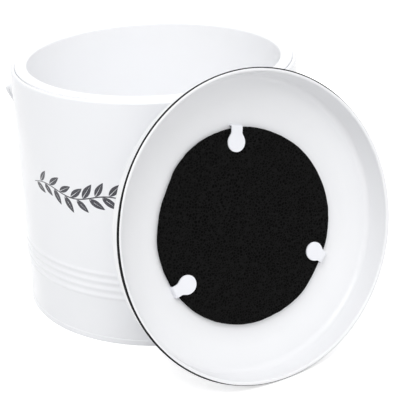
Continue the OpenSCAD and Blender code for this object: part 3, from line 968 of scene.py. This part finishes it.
gripBox = [Vector(corner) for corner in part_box("bail_grip")]
gripMiddle = Matrix.Translation((gripBox[0] + gripBox[1]) / 2)
bm = spinOutline(gripOutline(), grip["steps"])
bmesh.ops.transform(bm, matrix=gripMiddle @ alongX, verts=bm.verts)
heartY, heartZ = grip["heart"]
gripGrain = gripMiddle @ Matrix.Translation((0, heartY * mm, heartZ * mm))
addPiece("beechGrip", bm, "grip", beechMaterial("gripBeech", gripGrain, grip["rings"]),
         ["bail_grip"])
print("beech knob and grip")


# Finishes of the pieces that stay as the frame has them

def metalMaterial(name, colour, roughness, place=None):
    material, tree, shader, spot = newMaterial(name, {"Metallic": 1.0}, place)
    skin = useGroup(tree, skinGroup, {"Vector": spot, "Ripple": 1200.0, "Cloud": 90.0})
    dark = [0.82 * c for c in colour]
    tree.links.new(mixColours(tree, skin["Patch"], colour, dark), shader.inputs["Base Color"])
    tree.links.new(addRange(tree, skin["Height"], 0.3, 0.7, roughness - 0.06, roughness + 0.1),
                   shader.inputs["Roughness"])
    tree.links.new(addBump(tree, skin["Height"], 0.25, 0.04), shader.inputs["Normal"])
    return material


fibreMaterial, tree, shader, spot = newMaterial("washerFibre", {"Specular IOR Level": 0.3}, lidPlace)
skin = useGroup(tree, skinGroup, {"Vector": spot, "Ripple": 2500.0, "Cloud": 400.0})
tree.links.new(mixColours(tree, skin["Patch"], (0.035, 0.034, 0.033), (0.06, 0.057, 0.054)),
               shader.inputs["Base Color"])
tree.links.new(addRange(tree, skin["Height"], 0.3, 0.7, 0.7, 0.9), shader.inputs["Roughness"])
tree.links.new(addBump(tree, skin["Height"], 0.5, 0.08), shader.inputs["Normal"])

zinc = metalMaterial("brightZinc", (0.62, 0.62, 0.63), 0.3)
wireEnamel = enamelMaterial("wireEnamel", coat=0.4)[0]
finishes = {
    "rim_wire": zinc,
    "knob_screw": zinc,
    "pail_base": plainEnamel,
    "ear_rivets_left": plainEnamel,
    "ear_rivets_right": plainEnamel,
    "bail_wire": wireEnamel,
    "knob_insert": metalMaterial("turnedBrass", (0.72, 0.53, 0.25), 0.28),
    "knob_washer": fibreMaterial,
}
for node, material in finishes.items():
    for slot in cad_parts[node].material_slots:
        slot.material = material
print("finishes on", len(finishes), "frame nodes")


# Floor, world and lamps

studio = {
    "sky": {"low": 0.57, "high": 1.15, "left": 0.66},  # low down, overhead, and a dimmer left
    "floor": 0.82,
    "floorSize": 6.0,
    "floorLift": 0.5,  # added for the eye alone, so the floor reads white and keeps its shadow
    "lamps": {
        "key": {"place": (0.09, -1.03, 1.61), "aim": (0.05, -0.05, 0.1), "size": 1.1, "power": 12.8},
    },
}


def seenByEye(tree):
    rays = addNode(tree, "ShaderNodeLightPath").outputs
    seen = addMath(tree, "MAXIMUM", rays["Is Camera Ray"], rays["Is Glossy Ray"])
    return addMath(tree, "MAXIMUM", seen, rays["Is Transmission Ray"])


def makeWorld():
    world = bpy.data.worlds.new("paleRoom")
    bpy.context.scene.world = world
    world.use_nodes = True
    tree = world.node_tree
    sky = tree.nodes["Background"]
    sky.inputs["Color"].default_value = (1, 1, 1, 1)
    parts = addNode(tree, "ShaderNodeSeparateXYZ", values={
        "Vector": addNode(tree, "ShaderNodeTexCoord").outputs["Generated"]}).outputs
    spec = studio["sky"]
    up = addRange(tree, parts["Z"], 0.1, 0.9, spec["low"], spec["high"])
    glow = addMath(tree, "MULTIPLY", up, addRange(tree, parts["X"], -0.9, 0.2, spec["left"], 1.0))
    tree.links.new(addMath(tree, "MAXIMUM", seenByEye(tree), glow), sky.inputs["Strength"])


def makeFloor():
    bm = bmesh.new()
    bmesh.ops.create_grid(bm, x_segments=1, y_segments=1, size=studio["floorSize"])
    mesh = bpy.data.meshes.new("floor")
    bm.to_mesh(mesh)
    bm.free()
    material, tree, shader, spot = newMaterial("paleFloor", {
        "Base Color": (studio["floor"],) * 3 + (1,), "Roughness": 1.0, "Specular IOR Level": 0.0,
        "Emission Color": (1, 1, 1, 1)})
    lift = addMath(tree, "MULTIPLY", seenByEye(tree), studio["floorLift"])
    tree.links.new(lift, shader.inputs["Emission Strength"])
    mesh.materials.append(material)
    floor = bpy.data.objects.new("floor", mesh)
    bpy.context.scene.collection.objects.link(floor)


def addLamp(name, spec):
    data = bpy.data.lights.new(name, "AREA")
    data.shape = "DISK"
    data.size = spec["size"]
    data.energy = spec["power"]
    lamp = bpy.data.objects.new(name, data)
    bpy.context.scene.collection.objects.link(lamp)
    away = Vector(spec["place"]) - Vector(spec["aim"])
    facing = away.to_track_quat("Z", "Y").to_matrix().to_4x4()
    lamp.matrix_world = Matrix.Translation(spec["place"]) @ facing


makeWorld()
makeFloor()
for name, spec in studio["lamps"].items():
    addLamp(name, spec)
bpy.context.scene.view_settings.view_transform = "Standard"
print("floor, world and lamps")
